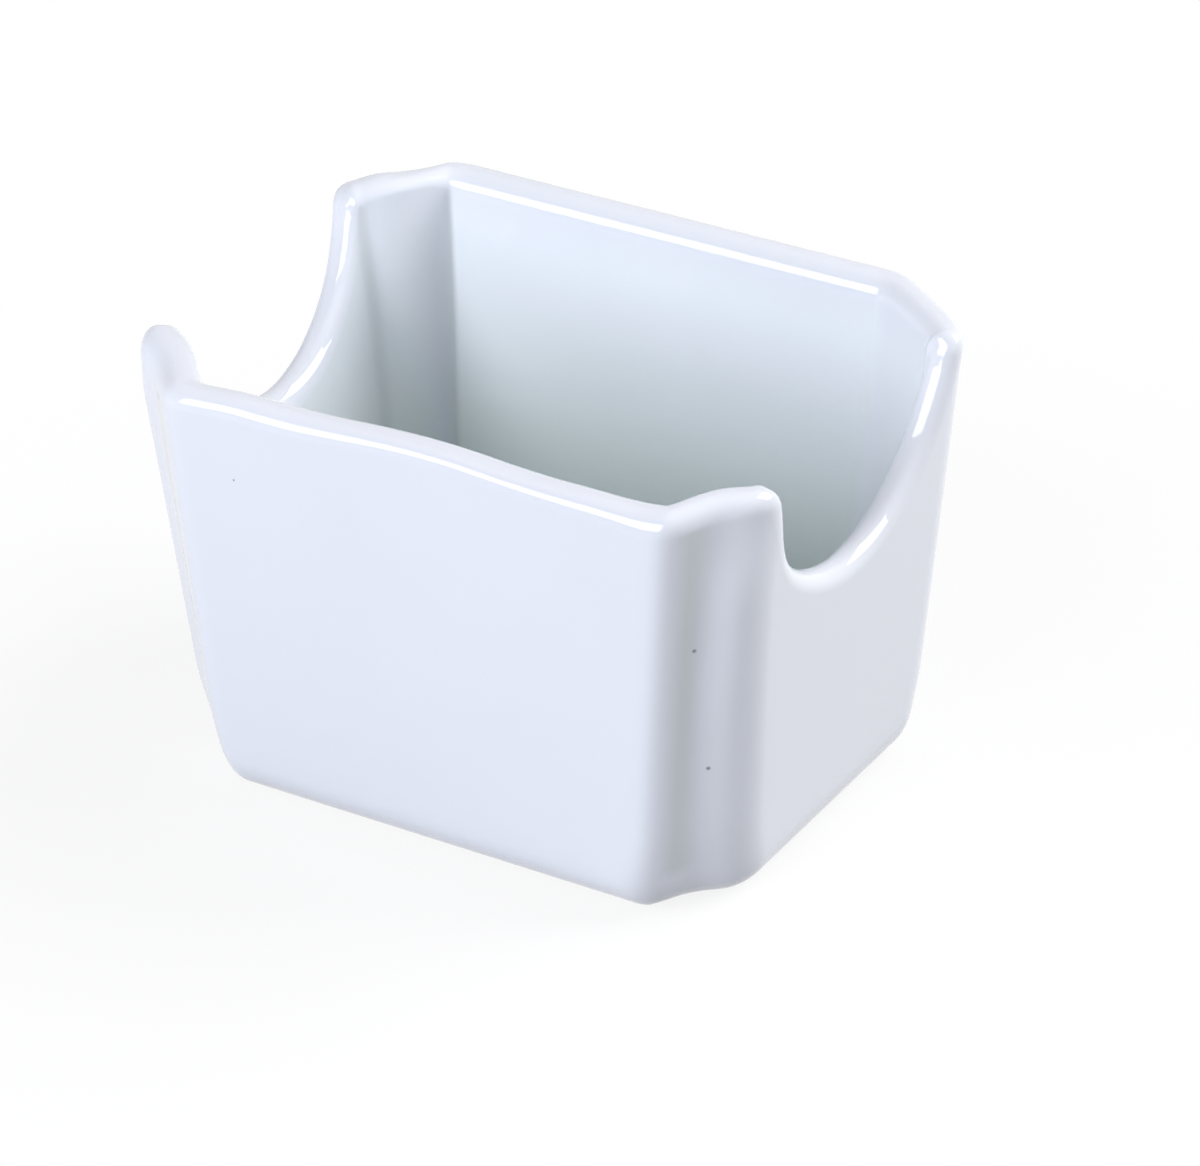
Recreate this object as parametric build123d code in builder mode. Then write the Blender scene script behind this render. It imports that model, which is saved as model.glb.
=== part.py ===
from build123d import *
from math import cos, radians, sin
import os

# Overall sizes in millimetres; the rim is measured on its outline before the scoops are cut
rim_length = 95.0
rim_width = 73.2
height = 62.5
end_lean = 5.9
side_lean = 3.2

# Walls, floor and the skin of glaze
wall = 5.5
floor_thickness = 5.0
glaze = 0.3

# Fluted corners: a convex edge beside the long wall, a hollow flute, a convex edge beside the end
side_crease = 1.7
end_crease = 4.3
flute_radius = 17.0
side_turn = 55.0
flute_turn = 19.0
floor_corner_growth = 5.0

# Rounded edges; a round is held to a share of the radius or wall that it sits on
base_round = 6.0
floor_round = 5.0
round_limit = 0.85
lip_outer_share = 0.55
lip_inner_share = 0.36

# Scoops in the two ends: the lower part of an ellipse with its centre above the rim
scoop_depth = 20.6
scoop_centre_rise = 6.0
scoop_margin = 0.2
shoulder_ease = 0.15

# Bare foot ring under the base
foot_height = 0.6
foot_width = 3.5
foot_setback = 0.8

# How far cutting shapes run past what they cut, and how steep a face may be to count as a top
overrun = 2.0
top_facing = 0.5

# Sizes that follow from the ones above
end_turn = 90.0 - side_turn + flute_turn
side_edge_radius = wall + side_crease
end_edge_radius = wall + end_crease
base_radius = min(base_round, round_limit * side_edge_radius)
floor_radius = min(floor_round, round_limit * (side_crease + floor_corner_growth))
lip_outer = lip_outer_share * wall
lip_inner = lip_inner_share * wall
shoulder = lip_outer + shoulder_ease
cavity_floor = foot_height + floor_thickness
clay_underside = foot_height + glaze
foot_outer = base_radius + foot_setback
foot_inner = foot_outer + foot_width


def corner_reach(side_radius, hollow_radius, end_radius):
    """How far a fluted corner takes the outline along X and along Y."""
    into_flute = radians(side_turn)
    out_of_flute = radians(side_turn - flute_turn)
    along_x = side_radius * sin(into_flute) + end_radius * (1 - sin(out_of_flute))
    along_x += hollow_radius * (sin(into_flute) - sin(out_of_flute))
    along_y = side_radius * (1 - cos(into_flute)) + end_radius * cos(out_of_flute)
    along_y += hollow_radius * (cos(out_of_flute) - cos(into_flute))
    return Vector(along_x, along_y)


def outline(level, offset, growth=0.0):
    """Plan outline at one level, set in from the outer wall by offset, its corners softened by growth."""
    side_radius = side_edge_radius - offset + growth
    hollow_radius = flute_radius + offset
    end_radius = end_edge_radius - offset + growth
    reach = corner_reach(side_radius, hollow_radius, end_radius)
    below_rim = (height - level) / (height - foot_height)
    half_length = rim_length / 2 - end_lean * below_rim - offset
    half_width = rim_width / 2 - side_lean * below_rim - offset
    side_flat = 2 * (half_length - reach.X)
    end_flat = 2 * (half_width - reach.Y)
    corner = ((side_radius, side_turn), (hollow_radius, -flute_turn), (end_radius, end_turn))
    with BuildSketch(Plane.XY.offset(level)) as section:
        with BuildLine():
            point = Vector(-side_flat / 2, -half_width)
            heading = Vector(1, 0)
            for flat, arcs in ((side_flat, corner), (end_flat, corner[::-1])) * 2:
                run = Line(point, point + heading * flat)
                for radius, turn in arcs:
                    run = JernArc(run @ 1, run % 1, radius, turn)
                point = run @ 1
                heading = run % 1
        make_face()
    return section.sketch


def cavity(inset):
    """The space inside the walls, grown by inset into them."""
    depth = wall - inset
    with BuildPart() as space:
        bottom = outline(cavity_floor - inset, depth, floor_corner_growth)
        loft([bottom, outline(height + overrun, depth)], ruled=True)
        fillet(space.faces().sort_by(Axis.Z)[0].edges(), floor_radius + inset)
    return space.part


def lip_loops(body):
    """The two closed edge loops round the cut top of the walls, the inner and shorter one first."""
    lowest = height - scoop_depth - overrun
    tops = body.faces().filter_by(lambda face: face.center().Z > lowest)
    tops = tops.filter_by(lambda face: face.normal_at().Z > top_facing)
    borders = [edge for face in tops for edge in face.edges()]
    free = [edge for edge in borders if borders.count(edge) == 1]
    return Wire.combine(free).sort_by(SortBy.LENGTH)


def ware(inset):
    """The whole holder but its foot, with its skin set in by inset everywhere."""
    end_reach = corner_reach(side_edge_radius, flute_radius, end_edge_radius).Y
    scoop_half_width = rim_width / 2 - end_reach - scoop_margin + inset
    scoop_half_height = scoop_depth + scoop_centre_rise + inset
    with BuildPart() as form:
        loft([outline(foot_height + inset, inset), outline(height + overrun, inset)], ruled=True)
        fillet(form.faces().sort_by(Axis.Z)[0].edges(), base_radius - inset)
        add(cavity(inset), mode=Mode.SUBTRACT)
        with BuildSketch(Plane.YZ) as crown:
            with Locations((0, height - inset)):
                Rectangle(rim_width + overrun, height, align=(Align.CENTER, Align.MIN))
            with Locations((0, height + scoop_centre_rise)):
                Ellipse(scoop_half_width, scoop_half_height)
            shoulders = crown.vertices().group_by(Axis.Y)[0].sort_by(Axis.X)[1:-1]
            fillet(shoulders, shoulder - inset)
        extrude(amount=rim_length / 2 + overrun, both=True, mode=Mode.SUBTRACT)
        fillet(lip_loops(form.part)[-1].edges(), lip_outer - inset)
        fillet(lip_loops(form.part)[0].edges(), lip_inner - inset)
    return form.part


# Fired clay: the ware less its skin, standing on a ring that is left bare
with BuildPart() as porcelain_body:
    add(ware(glaze))
    extrude(outline(clay_underside, foot_outer, foot_inner), -clay_underside)
    extrude(outline(clay_underside, foot_inner, foot_inner), -clay_underside, mode=Mode.SUBTRACT)

# Patch of glaze under the floor, closed in by the foot ring
with BuildPart() as underside_glaze:
    extrude(outline(clay_underside, foot_inner, foot_inner), -glaze)

# Main coat of glaze, over the lip and both faces of the walls, down to the foot ring
with BuildPart() as glaze_coat:
    add(ware(0.0))
    add(porcelain_body.part, mode=Mode.SUBTRACT)
    add(underside_glaze.part, mode=Mode.SUBTRACT)

os.makedirs("parts", exist_ok=True)

porcelain_body.part.label = "porcelain_body"
export_step(porcelain_body.part, "parts/porcelain_body.step")

underside_glaze.part.label = "underside_glaze"
export_step(underside_glaze.part, "parts/underside_glaze.step")

glaze_coat.part.label = "glaze_coat"
export_step(glaze_coat.part, "parts/glaze_coat.step")
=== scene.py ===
import logging
import math
from dataclasses import dataclass, field
from enum import Enum
from functools import cached_property

import bpy
import numpy as np
from mathutils import Matrix, Vector


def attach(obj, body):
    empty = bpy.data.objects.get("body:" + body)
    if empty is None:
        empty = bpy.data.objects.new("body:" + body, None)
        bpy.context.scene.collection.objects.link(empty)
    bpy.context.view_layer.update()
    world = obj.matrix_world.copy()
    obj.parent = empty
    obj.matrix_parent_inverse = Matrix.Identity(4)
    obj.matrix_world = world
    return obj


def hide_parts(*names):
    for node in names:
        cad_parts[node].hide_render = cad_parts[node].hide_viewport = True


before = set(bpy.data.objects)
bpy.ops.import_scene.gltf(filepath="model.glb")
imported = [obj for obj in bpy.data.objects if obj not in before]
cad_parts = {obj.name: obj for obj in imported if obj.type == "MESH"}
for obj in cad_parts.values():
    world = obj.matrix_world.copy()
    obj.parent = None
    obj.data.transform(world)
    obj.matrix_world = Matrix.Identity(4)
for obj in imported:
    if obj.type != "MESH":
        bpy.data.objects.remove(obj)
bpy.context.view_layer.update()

BODY = "root"

# Share to which a loop is drawn in before a fan of triangles closes it
SMALL_RING = 0.06

# Sockets of a Mix node that mixes colours
FIRST_COLOUR, SECOND_COLOUR, MIXED_COLOUR = 6, 7, 2

Colour = tuple[float, float, float]

log = logging.getLogger("sugar_packet_holder")


class Slot(Enum):
    """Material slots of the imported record."""

    PORCELAIN = "porcelain"
    GLAZE = "glaze"


class Node(Enum):
    """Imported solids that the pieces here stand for."""

    BODY = "porcelain_body"
    COAT = "glaze_coat"
    UNDERSIDE = "underside_glaze"


class Axis(Enum):
    """Axes of the frame, by their place in a point."""

    X = 0
    Y = 1
    Z = 2


# Form of the tub


def smooth(value: np.ndarray) -> np.ndarray:
    """Eases from 0 to 1 as a value goes from 0 to 1."""
    part = np.clip(value, 0.0, 1.0)
    return part * part * (3.0 - 2.0 * part)


def hump(value: np.ndarray) -> np.ndarray:
    """Rises from 0 at -1 to 1 at 0, and falls back to 0 at 1."""
    return np.clip(1.0 - value ** 2, 0.0, 1.0) ** 2


def by_corner(values: tuple[float, ...], corner: np.ndarray) -> np.ndarray:
    """Each point's own value, out of one for each corner."""
    return np.array(values)[corner]


def at_front(quarter: np.ndarray) -> np.ndarray:
    """Whether a quarter is one of the two at the front."""
    return (quarter == 0) | (quarter == 3)


def drawn_in(loop: np.ndarray, share: float) -> np.ndarray:
    """A level loop of points, drawn in towards the middle of the tub to a share of its size."""
    return loop * np.array((share, share, 1.0))


@dataclass(frozen=True)
class CornerArc:
    """One arc of a corner seen from above; a hollow arc has a negative turn in degrees.

    Softens is the share of a corner's growth that is added to the radius.
    """

    radius: float
    turn: float
    softens: float = 0.0


@dataclass(frozen=True)
class HolderForm:
    """Sizes of the tub in metres, and where its walls, lip, floor and foot run.

    A tuple with a value for each corner goes front right, back right, back left, front left. A place
    counts along a quarter of the outline: 0 to 1 for half the long wall, then 1 for each arc of the
    corner, then 1 for half the end. A run is a length along the middle of the wall from mid front.
    """

    # Walls, floor and glaze
    rim_length: float = 0.0950
    rim_width: float = 0.0732
    height: float = 0.0625
    end_lean: float = 0.0059
    side_lean: float = 0.0032
    wall: float = 0.0055
    end_wall_share: float = 0.84
    floor_thickness: float = 0.0050
    glaze: float = 0.0003

    # Fluted corners, the plain outline that some were trimmed to by hand, and how far each one was
    corner: tuple[CornerArc, ...] = (
        CornerArc(0.0036, 55.5, softens=1.0),
        CornerArc(0.0198, 9.0),
        CornerArc(0.01076, -24.0),
        CornerArc(0.0723, 1.0),
        CornerArc(0.0081, 48.5, softens=0.3),
    )
    plain_corner: tuple[CornerArc, ...] = (
        CornerArc(0.0090, 27.0),
        CornerArc(0.0250, 5.0),
        CornerArc(0.1200, 5.0),
        CornerArc(0.0120, 15.0),
        CornerArc(0.0065, 38.0),
    )
    rim_plain: tuple[float, ...] = (0.0, 0.92, 0.52, 0.0)
    inner_plain: tuple[float, ...] = (0.0, 1.0, 0.0, 0.0)
    rim_zone: float = 0.0100
    least_crease: float = 0.0009
    floor_corner_growth: float = 0.0015
    base_trim: float = 0.0030
    base_zone: float = 0.0140

    # Inner creases that stand more upright than the outside; the fade is in places
    crease_lean: tuple[float, ...] = (0.0, 0.0, 0.092, 0.0)
    crease_level: float = 0.0420
    crease_below: float = 0.0240
    crease_above: float = 0.0200
    crease_fade: float = 4.0

    # Corners that are turned towards the long wall; from and over are in places
    turned_base: tuple[float, ...] = (0.0, 0.0, 0.0, 0.0007)
    turned_lean: tuple[float, ...] = (0.0, 0.0, 0.0, 0.0300)
    turned_end_share: float = 0.36
    turned_from: float = 1.6
    turned_over: float = 3.0

    # Rounded edges, and a lip that changes along the rim
    base_round: float = 0.0066
    floor_round: float = 0.0050
    lip_outer: float = 0.0025
    lip_inner: float = 0.0027
    front_slimming: float = 0.0009
    slimmest: float = 0.0080
    slim_reach: float = 0.0300
    corner_lip_outer: float = 0.0038
    corner_lip_inner: float = 0.0014
    corner_lip: tuple[float, ...] = (0.4, 0.15, 1.0, 1.0)
    lip_lead: tuple[float, ...] = (0.0060, 0.0020, 0.0020, 0.0020)
    lip_change: float = 0.0060
    lip_tails: tuple[float, ...] = (0.0032, 0.0032, 0.0032, 0.0062)

    # Scoops in the two ends, and the foot ring
    scoop_depth: float = 0.0207
    scoop_centre_rise: float = 0.0060
    scoop_half_width: float = 0.0223
    shoulder: float = 0.0034
    foot_height: float = 0.0006
    foot_width: float = 0.0035
    foot_setback: float = 0.0002

    # Columns of points in a quarter, and how finely a touching point, a place and a slope are found
    side_columns: int = 40
    rim_columns: int = 8
    shoulder_columns: int = 10
    scoop_columns: int = 28
    touch_tries: int = 60
    search_points: int = 400
    slope_step: float = 0.0005

    @property
    def cavity_floor(self) -> float:
        """Level of the glazed floor inside."""
        return self.foot_height + self.floor_thickness

    @property
    def foot_outer(self) -> float:
        """How far the outer edge of the foot ring lies in from the outline."""
        return self.base_round + self.foot_setback

    @property
    def foot_inner(self) -> float:
        """How far the inner edge of the foot ring lies in from the outline."""
        return self.foot_outer + self.foot_width

    def inwards(self, offset: np.ndarray) -> np.ndarray:
        """How far through the wall a depth lies: 0 on its outer face, 1 on its inner face."""
        return np.clip(offset / self.wall, 0.0, 1.0)

    def growth(self, level: np.ndarray, inside: bool = True) -> np.ndarray:
        """How much softer the corners inside are at a level than at the rim; outside they aren't."""
        grown = self.floor_corner_growth * (self.height - level) / (self.height - self.cavity_floor)
        return grown if inside else np.zeros_like(level)

    def base_growth(self, level: np.ndarray, offset: np.ndarray) -> np.ndarray:
        """How much softer the corners outside are near the base."""
        return self.base_trim * smooth(1.0 - level / self.base_zone) * (1.0 - self.inwards(offset))

    def quarter(self, place: np.ndarray, level: np.ndarray, offset: np.ndarray, growth: np.ndarray,
                plain: bool = False) -> tuple[np.ndarray, ...]:
        """Runs along a quarter of the plan outline, from mid long wall to mid end.

        Args:
            place: place along the quarter.
            level: height above the table.
            offset: distance in from the outer face.
            growth: how much softer the corner is.
            plain: whether the corner is the plain one, and not the fluted one.

        Returns:
            The x and y of each point, both positive, and the angle of its outward normal from +Y.
        """
        arcs = self.plain_corner if plain else self.corner
        lowered = (self.height - level) / (self.height - self.foot_height)
        half_length = self.rim_length / 2 - self.end_lean * lowered - self.end_wall_share * offset
        half_width = self.rim_width / 2 - self.side_lean * lowered - offset
        x_run, y_run, x_reach, y_reach, angle = 0.0, 0.0, 0.0, 0.0, np.zeros_like(place)
        start = 0.0
        for index, arc in enumerate(arcs):
            if arc.turn > 0:
                radius = np.maximum(arc.radius - offset + arc.softens * growth, self.least_crease)
            else:
                radius = -(arc.radius + offset)
            turn = math.radians(arc.turn)
            part = np.clip(place - 1 - index, 0.0, 1.0) * turn
            x_run = x_run + radius * (np.sin(start + part) - math.sin(start))
            y_run = y_run + radius * (np.cos(start + part) - math.cos(start))
            x_reach = x_reach + radius * (math.sin(start + turn) - math.sin(start))
            y_reach = y_reach + radius * (math.cos(start + turn) - math.cos(start))
            angle = angle + part
            start += turn
        x = (half_length - x_reach) * np.clip(place, 0.0, 1.0) + x_run
        y = half_width + y_run - (half_width + y_reach) * np.clip(place - len(arcs) - 1, 0.0, 1.0)
        return x, y, angle

    def plainness(self, corner: np.ndarray, level: np.ndarray, offset: np.ndarray) -> np.ndarray:
        """How far a corner was trimmed by hand from its fluted to its plain outline.

        Args:
            corner: which corner it is.
            level: height above the table.
            offset: distance in from the outer face.

        Returns:
            0 for the fluted outline, 1 for the plain one.
        """
        inside = self.inwards(offset)
        near_rim = smooth((level - self.height + self.rim_zone) / self.rim_zone)
        outer = by_corner(self.rim_plain, corner) * near_rim
        return outer * (1.0 - inside) + by_corner(self.inner_plain, corner) * inside

    def crease_shift(self, place: np.ndarray, corner: np.ndarray, level: np.ndarray,
                     offset: np.ndarray) -> np.ndarray:
        """How far an inner crease moves that stands more upright than the outside.

        Args:
            place: place along the quarter.
            corner: which corner it is.
            level: height above the table.
            offset: distance in from the outer face.

        Returns:
            The distance towards the middle of the long wall.
        """
        fade = np.clip((len(self.corner) + 1 - place) / self.crease_fade, 0.0, 1.0)
        near = np.clip(place, 0.0, 1.0) * fade
        above = np.clip(level - self.crease_level, -self.crease_below, self.crease_above)
        return by_corner(self.crease_lean, corner) * above * near * self.inwards(offset)

    def corner_turn(self, place: np.ndarray, corner: np.ndarray, level: np.ndarray) -> np.ndarray:
        """How far a turned corner moves: in beside the long wall, and out beside the end.

        Args:
            place: place along the quarter.
            corner: which corner it is.
            level: height above the table.

        Returns:
            The distance towards the middle of the long wall.
        """
        amount = by_corner(self.turned_base, corner) + by_corner(self.turned_lean, corner) * level
        beside_end = smooth((place - self.turned_from) / self.turned_over)
        low = smooth((self.height - level) / self.rim_zone)
        beside_side = np.clip(place, 0.0, 1.0) * (1.0 - beside_end)
        fading = np.clip(len(self.corner) + 2 - place, 0.0, 1.0)
        return amount * (beside_side - self.turned_end_share * beside_end * low * fading)

    def marks(self, offset: float) -> np.ndarray:
        """Measures a quarter of the rim at a depth in the wall.

        Args:
            offset: distance in from the outer face.

        Returns:
            The length from mid long wall to each whole place of the quarter.
        """
        top, depth, none = np.array([self.height]), np.array([offset]), np.zeros(1)
        lengths = [0.0, float(self.quarter(np.ones(1), top, depth, none)[0][0])]
        for arc in self.corner:
            radius = max(arc.radius - math.copysign(offset, arc.turn), self.least_crease)
            lengths.append(lengths[-1] + radius * math.radians(abs(arc.turn)))
        end = self.quarter(np.array([len(self.corner) + 1.0]), top, depth, none)[1][0]
        lengths.append(lengths[-1] + float(end))
        return np.array(lengths)

    @cached_property
    def run_marks(self) -> np.ndarray:
        """Runs at each whole place of a quarter."""
        return self.marks(self.wall / 2)

    @property
    def whole_run(self) -> float:
        """Run all the way round the rim."""
        return 4 * self.run_marks[-1]

    def lay_out(self, run: np.ndarray) -> tuple[np.ndarray, np.ndarray]:
        """Finds where runs lie.

        Args:
            run: runs round the rim.

        Returns:
            The place in the quarter, and which quarter it is.
        """
        marks = self.run_marks
        turns, part = np.divmod(run, marks[-1])
        quarter = turns.astype(int) % 4
        part = np.where(quarter % 2 == 1, marks[-1] - part, part)
        return np.interp(part, marks, np.arange(len(marks))), quarter

    def point(self, run: np.ndarray, level: np.ndarray, offset: np.ndarray,
              growth: np.ndarray) -> np.ndarray:
        """Finds points of the wall.

        Args:
            run: runs round the rim.
            level: height above the table.
            offset: distance in from the outer face.
            growth: how much softer the corners are.

        Returns:
            The points of the true form, before firing.
        """
        run, level, offset, growth = np.broadcast_arrays(run, level, offset, growth)
        place, quarter = self.lay_out(run)
        growth = growth + self.base_growth(level, offset)
        x, y, _ = self.quarter(place, level, offset, growth)
        plain_x, plain_y, _ = self.quarter(place, level, offset, growth, plain=True)
        plain = self.plainness(quarter, level, offset)
        x, y = x + plain * (plain_x - x), y + plain * (plain_y - y)
        x = x - self.crease_shift(place, quarter, level, offset) - self.corner_turn(place, quarter, level)
        x_sign = np.where(quarter < 2, 1.0, -1.0)
        y_sign = np.where(at_front(quarter), -1.0, 1.0)
        return np.stack((x_sign * x, y_sign * y, level), axis=-1)

    def foot_loop(self, level: float, inward: float) -> np.ndarray:
        """A level loop under the base, set in from the outline, with corners as soft as the foot ring's."""
        run = self.columns[0]
        return self.point(run, np.full_like(run, level), inward, self.foot_inner)

    def lip_radii(self, run: np.ndarray) -> tuple[np.ndarray, np.ndarray]:
        """Sizes of the lip, which is rounded off more outside at the corners and slimmer along the front.

        Args:
            run: runs round the rim.

        Returns:
            The outer and the inner radius of the lip.
        """
        marks, half = self.run_marks, self.whole_run / 2
        quarter = (run // marks[-1]).astype(int) % 4
        part = run % half
        part = np.minimum(part, half - part)
        into = smooth((part - marks[1] + by_corner(self.lip_lead, quarter)) / self.lip_change)
        until = marks[math.ceil(self.mid_flute)] + by_corner(self.lip_tails, quarter)
        out_of = smooth((until - part) / self.lip_change)
        corner = into * out_of * by_corner(self.corner_lip, quarter)
        along = np.where(quarter == 3, -part, part)
        slim = hump((along - self.slimmest) / self.slim_reach)
        plain = self.lip_outer - self.front_slimming * slim * at_front(quarter)
        outer = plain + (self.corner_lip_outer - plain) * corner
        inner = self.lip_inner + (self.corner_lip_inner - self.lip_inner) * corner
        return outer, inner

    def slope(self, run: np.ndarray, level: float, offset: float, inside: bool) -> np.ndarray:
        """Measures the lean of a wall.

        Args:
            run: runs round the rim.
            level: height above the table.
            offset: distance in from the outer face.
            inside: whether it is the inner face.

        Returns:
            How far the wall moves outward for each metre up.
        """
        place, _ = self.lay_out(run)
        spots = []
        for height in (level - self.slope_step, level + self.slope_step):
            at = np.full_like(run, height)
            x, y, angle = self.quarter(place, at, np.full_like(run, offset), self.growth(at, inside))
            spots.append(x * np.sin(angle) + y * np.cos(angle))
        return (spots[1] - spots[0]) / (2 * self.slope_step)

    def scoop_edge(self) -> tuple[np.ndarray, np.ndarray]:
        """Half the top edge of one end, from mid flute to the bottom of the scoop.

        Returns:
            The distance of each point from the middle of the end, and its level.
        """
        across, down = self.scoop_half_width, self.scoop_depth + self.scoop_centre_rise
        centre = self.height + self.scoop_centre_rise

        def off_scoop(angle: float) -> tuple[float, float, float, float]:
            """Places a shoulder so that it touches the scoop.

            Args:
                angle: angle round the scoop's ellipse at which it touches.

            Returns:
                The y and z of the shoulder's centre, and of the direction out of the scoop.
            """
            y_part, z_part = math.cos(angle) / across, math.sin(angle) / down
            size = math.hypot(y_part, z_part)
            y_part, z_part = y_part / size, z_part / size
            y = across * math.cos(angle) + self.shoulder * y_part
            z = centre + down * math.sin(angle) + self.shoulder * z_part
            return y, z, y_part, z_part

        low, high = -math.pi / 2, 0.0
        for _ in range(self.touch_tries):
            touch = (low + high) / 2
            if off_scoop(touch)[1] > self.height - self.shoulder:
                high = touch
            else:
                low = touch
        shoulder_y, shoulder_z, y_part, z_part = off_scoop(touch)
        flute, half_wall = np.array([self.mid_flute]), np.full(1, self.wall / 2)
        rim_start = float(self.quarter(flute, np.array([self.height]), half_wall, np.zeros(1))[1][0])
        rim = np.linspace(rim_start, shoulder_y, self.rim_columns, endpoint=False)
        bend = np.linspace(math.pi / 2, math.atan2(-z_part, -y_part), self.shoulder_columns, endpoint=False)
        bowl = np.linspace(touch, -math.pi / 2, self.scoop_columns)
        y = np.concatenate((rim, shoulder_y + self.shoulder * np.cos(bend), across * np.cos(bowl)))
        z = np.concatenate((np.full_like(rim, self.height), shoulder_z + self.shoulder * np.sin(bend),
                            centre + down * np.sin(bowl)))
        return y, z

    @property
    def mid_flute(self) -> float:
        """Place of the middle of the hollow arc."""
        hollow = next(index for index, arc in enumerate(self.corner) if arc.turn < 0)
        return 1 + hollow + 0.5

    @cached_property
    def columns(self) -> tuple[np.ndarray, np.ndarray, np.ndarray]:
        """Columns round the tub.

        Returns:
            For each column its run at the base, its run at the top edge, and the level of that edge.
        """
        marks, face = self.run_marks, self.marks(0.0)
        places = np.arange(len(marks))
        flute = float(np.interp(self.mid_flute, places, face))
        side = np.interp(np.linspace(0.0, flute, self.side_columns, endpoint=False), face, marks)
        y, z = self.scoop_edge()
        search = np.linspace(self.mid_flute, len(marks) - 1, self.search_points)
        half_wall, none = np.full_like(search, self.wall / 2), np.zeros_like(search)
        end_places = []
        for distance, level in zip(y, z):
            spread = self.quarter(search, np.full_like(search, level), half_wall, none)[1]
            end_places.append(np.interp(distance, spread[::-1], search[::-1]))
        end = np.interp(np.array(end_places), places, marks)
        top = np.concatenate((side, end))
        level = np.concatenate((np.full_like(side, self.height), z))
        base = np.concatenate((side, np.interp(np.linspace(flute, face[-1], len(end)), face, marks)))
        half = self.whole_run / 2
        around = []
        for row in (base, top):
            there, back = row[:-1], row[:0:-1]
            around.append(np.concatenate((there, half - back, half + there, self.whole_run - back)))
        levels = np.concatenate((level[:-1], level[:0:-1]) * 2)
        return around[0], around[1], levels


@dataclass(frozen=True)
class CreaseAndDepthShade:
    """Painted shade: darker in the outer flutes and inner creases, and darker and greener low down inside.
    Widths are in places.
    """

    form: HolderForm
    side_crease_width: float = 0.5
    end_crease_width: float = 0.6
    plain_loss: float = 0.6
    hollow_lead: float = 1.75
    hollow_width: float = 2.0
    # How much painted shade a crease keeps at the rim, and how fast painted shade grows low down inside
    crease_shade_at_rim: float = 0.35
    depth_shade_power: float = 1.6
    # Painted shade round the rounding of the floor and on the floor
    round_shade: float = 0.8
    round_start: float = 0.25
    round_span: float = 0.6
    floor_shade: float = 0.5
    floor_power: int = 4
    floor_depth_shade: float = 0.7

    def creases(self, run: np.ndarray) -> np.ndarray:
        """How far into an inner crease of a corner each column runs.

        Args:
            run: runs round the rim.

        Returns:
            1 in the middle of the first and of the last arc of a corner, less for a plain corner.
        """
        place, corner = self.form.lay_out(run)
        beside_side = (place - 1.5) / self.side_crease_width
        beside_end = (place - len(self.form.corner) - 0.5) / self.end_crease_width
        weight = np.maximum(np.exp(-beside_side ** 2), np.exp(-beside_end ** 2))
        return weight * (1.0 - self.plain_loss * by_corner(self.form.inner_plain, corner))

    def hollows(self, run: np.ndarray) -> np.ndarray:
        """How far into the flute of a corner each column runs, from 0 to 1."""
        part = (self.form.lay_out(run)[0] - self.form.mid_flute + self.hollow_lead) / self.hollow_width
        return np.sin(math.pi * np.clip(part, 0.0, 1.0)) ** 2

    def on_wall(self, run: np.ndarray, level: np.ndarray, inside: bool) -> tuple[np.ndarray, np.ndarray]:
        """Painted shade on a wall.

        Args:
            run: runs round the rim.
            level: height above the table.
            inside: whether it is the inner face.

        Returns:
            The painted shade in creases and flutes, and the painted shade low down inside.
        """
        hollow = self.hollows(run)
        if not inside:
            return hollow, np.zeros_like(hollow)
        low = 1.0 - np.clip((level - self.form.cavity_floor) / self.form.height, 0.0, 1.0)
        pool = self.creases(run) * (self.crease_shade_at_rim + (1.0 - self.crease_shade_at_rim) * low)
        return pool, low ** self.depth_shade_power * (1.0 - hollow)

    def on_rounding(self, run: np.ndarray, part: float) -> tuple[np.ndarray, float]:
        """Painted shade on the rounding of the floor.

        Args:
            run: runs round the rim.
            part: 1 beside the wall, 0 beside the floor.

        Returns:
            The painted shade in creases and all round the rounding, and the painted shade low down inside.
        """
        bend = math.sin(math.pi * (self.round_start + self.round_span * part))
        pool = np.maximum(self.creases(run), self.round_shade) * bend
        return pool, self.floor_depth_shade + (1.0 - self.floor_depth_shade) * part

    def on_floor(self, part: float) -> tuple[float, float]:
        """Painted shade on the level floor, at a share of its size: next to its rounding, and low down
        inside.
        """
        return self.floor_shade * part ** self.floor_power, self.floor_depth_shade


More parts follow.
